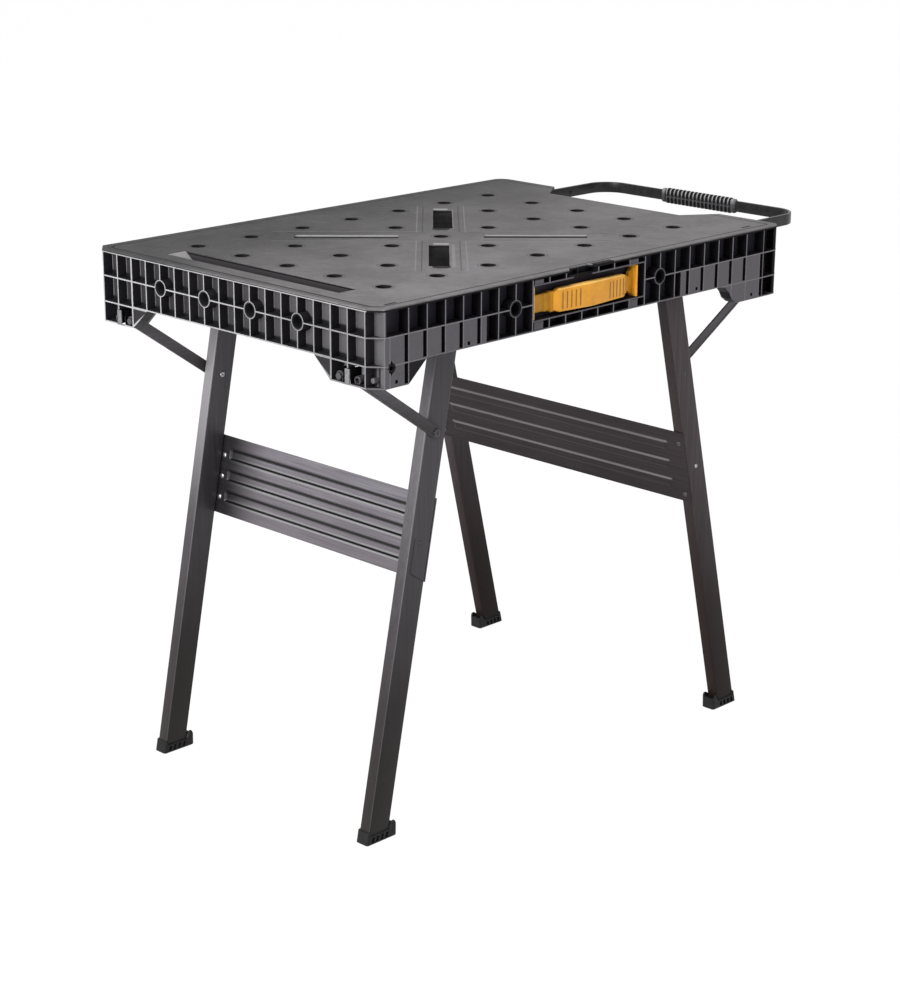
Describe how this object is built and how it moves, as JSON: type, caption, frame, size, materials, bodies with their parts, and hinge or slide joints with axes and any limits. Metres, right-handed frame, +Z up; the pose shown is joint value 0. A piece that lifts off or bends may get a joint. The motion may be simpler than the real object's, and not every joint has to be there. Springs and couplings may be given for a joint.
{
  "type": "folding workbench",
  "caption": "Folding workbench with a ribbed plastic top, dog holes, clamp windows, a tool tray, a carry handle, a pull handle and two braced steel leg frames that fold under it.",
  "frame": {"origin": "middle of the footprint of the whole bench, pull handle out, on the floor", "axes": "+X along the top towards the pull handle, -Y towards the carry handle, +Z up"},
  "size_m": [1.051, 0.6, 0.795],
  "materials": {
    "deck_plastic": "fine satin texture",
    "skirt_plastic": "satin moulded",
    "painted_steel": "charcoal powder coat",
    "bright_steel": "zinc plated",
    "yellow_plastic": "satin moulded",
    "grip_rubber": "soft matte",
    "boot_plastic": "matte moulded"
  },
  "bodies": {
    "top": {"worktop_deck": "deck_plastic", "vee_groove_1": "deck_plastic", "vee_groove_2": "deck_plastic", "tool_tray": "deck_plastic", "front_rail": "skirt_plastic", "rear_rail": "skirt_plastic", "left_rail": "skirt_plastic", "right_rail": "skirt_plastic", "corner_post_left_front": "skirt_plastic", "corner_post_left_rear": "skirt_plastic", "corner_post_right_front": "skirt_plastic", "corner_post_right_rear": "skirt_plastic", "pull_guide_front": "skirt_plastic", "pull_guide_rear": "skirt_plastic", "carry_handle": "yellow_plastic", "left_slide_plate_front": "painted_steel", "left_slide_plate_rear": "painted_steel", "right_slide_plate_front": "painted_steel", "right_slide_plate_rear": "painted_steel"},
    "pull_handle": {"pull_strip": "painted_steel", "pull_grip": "grip_rubber"},
    "left_slide": {"left_slider_front": "bright_steel", "left_slider_rear": "bright_steel"},
    "left_frame": {"left_leg_front": "painted_steel", "left_foot_front": "boot_plastic", "left_brace_rivet_front": "bright_steel", "left_screw_front_1": "bright_steel", "left_screw_front_2": "bright_steel", "left_leg_rear": "painted_steel", "left_foot_rear": "boot_plastic", "left_brace_rivet_rear": "bright_steel", "left_screw_rear_1": "bright_steel", "left_screw_rear_2": "bright_steel", "left_panel": "painted_steel"},
    "left_brace_front": {"left_brace_front": "painted_steel"},
    "left_brace_rear": {"left_brace_rear": "painted_steel"},
    "right_slide": {"right_slider_front": "bright_steel", "right_slider_rear": "bright_steel"},
    "right_frame": {"right_leg_front": "painted_steel", "right_foot_front": "boot_plastic", "right_brace_rivet_front": "bright_steel", "right_screw_front_1": "bright_steel", "right_screw_front_2": "bright_steel", "right_leg_rear": "painted_steel", "right_foot_rear": "boot_plastic", "right_brace_rivet_rear": "bright_steel", "right_screw_rear_1": "bright_steel", "right_screw_rear_2": "bright_steel", "right_panel": "painted_steel"},
    "right_brace_front": {"right_brace_front": "painted_steel"},
    "right_brace_rear": {"right_brace_rear": "painted_steel"}
  },
  "joints": [
    {"name": "left_slide_travel", "type": "slide", "parent": "top", "child": "left_slide", "axis": [-1, 0, 0], "range_m": [0, 0.1547]},
    {"name": "left_leg_fold", "type": "hinge", "parent": "left_slide", "child": "left_frame", "pos_m": [-0.324, 0, 0.738], "axis": [0, -1, 0], "range_deg": [0, 99.43]},
    {"name": "left_brace_front_turn", "type": "hinge", "parent": "left_frame", "child": "left_brace_front", "pos_m": [-0.35417, 0, 0.586], "axis": [0, -1, 0], "range_deg": [-52.83, 0]},
    {"name": "left_brace_rear_turn", "type": "hinge", "parent": "left_frame", "child": "left_brace_rear", "pos_m": [-0.35417, 0, 0.586], "axis": [0, -1, 0], "range_deg": [-52.83, 0]},
    {"name": "right_slide_travel", "type": "slide", "parent": "top", "child": "right_slide", "axis": [1, 0, 0], "range_m": [0, 0.184]},
    {"name": "right_leg_fold", "type": "hinge", "parent": "right_slide", "child": "right_frame", "pos_m": [0.1095, 0, 0.749], "axis": [0, 1, 0], "range_deg": [0, 103.57]},
    {"name": "right_brace_front_turn", "type": "hinge", "parent": "right_frame", "child": "right_brace_front", "pos_m": [0.14878, 0, 0.586], "axis": [0, 1, 0], "range_deg": [-57.88, 0]},
    {"name": "right_brace_rear_turn", "type": "hinge", "parent": "right_frame", "child": "right_brace_rear", "pos_m": [0.14878, 0, 0.586], "axis": [0, 1, 0], "range_deg": [-57.88, 0]},
    {"name": "pull_handle_slide", "type": "slide", "parent": "top", "child": "pull_handle", "axis": [1, 0, 0], "range_m": [-0.12, 0]}
  ],
  "couplings": [
    {"joint": "left_brace_front_turn", "follows": "left_leg_fold", "ratio": -0.53078},
    {"joint": "left_brace_rear_turn", "follows": "left_leg_fold", "ratio": -0.53078},
    {"joint": "left_slide_travel", "follows": "left_leg_fold", "m_per_rad": 0.089032},
    {"joint": "right_brace_front_turn", "follows": "left_leg_fold", "ratio": -0.58161},
    {"joint": "right_brace_rear_turn", "follows": "left_leg_fold", "ratio": -0.58161},
    {"joint": "right_slide_travel", "follows": "left_leg_fold", "m_per_rad": 0.10589},
    {"joint": "right_leg_fold", "follows": "left_leg_fold", "ratio": 1.0414}
  ]
}
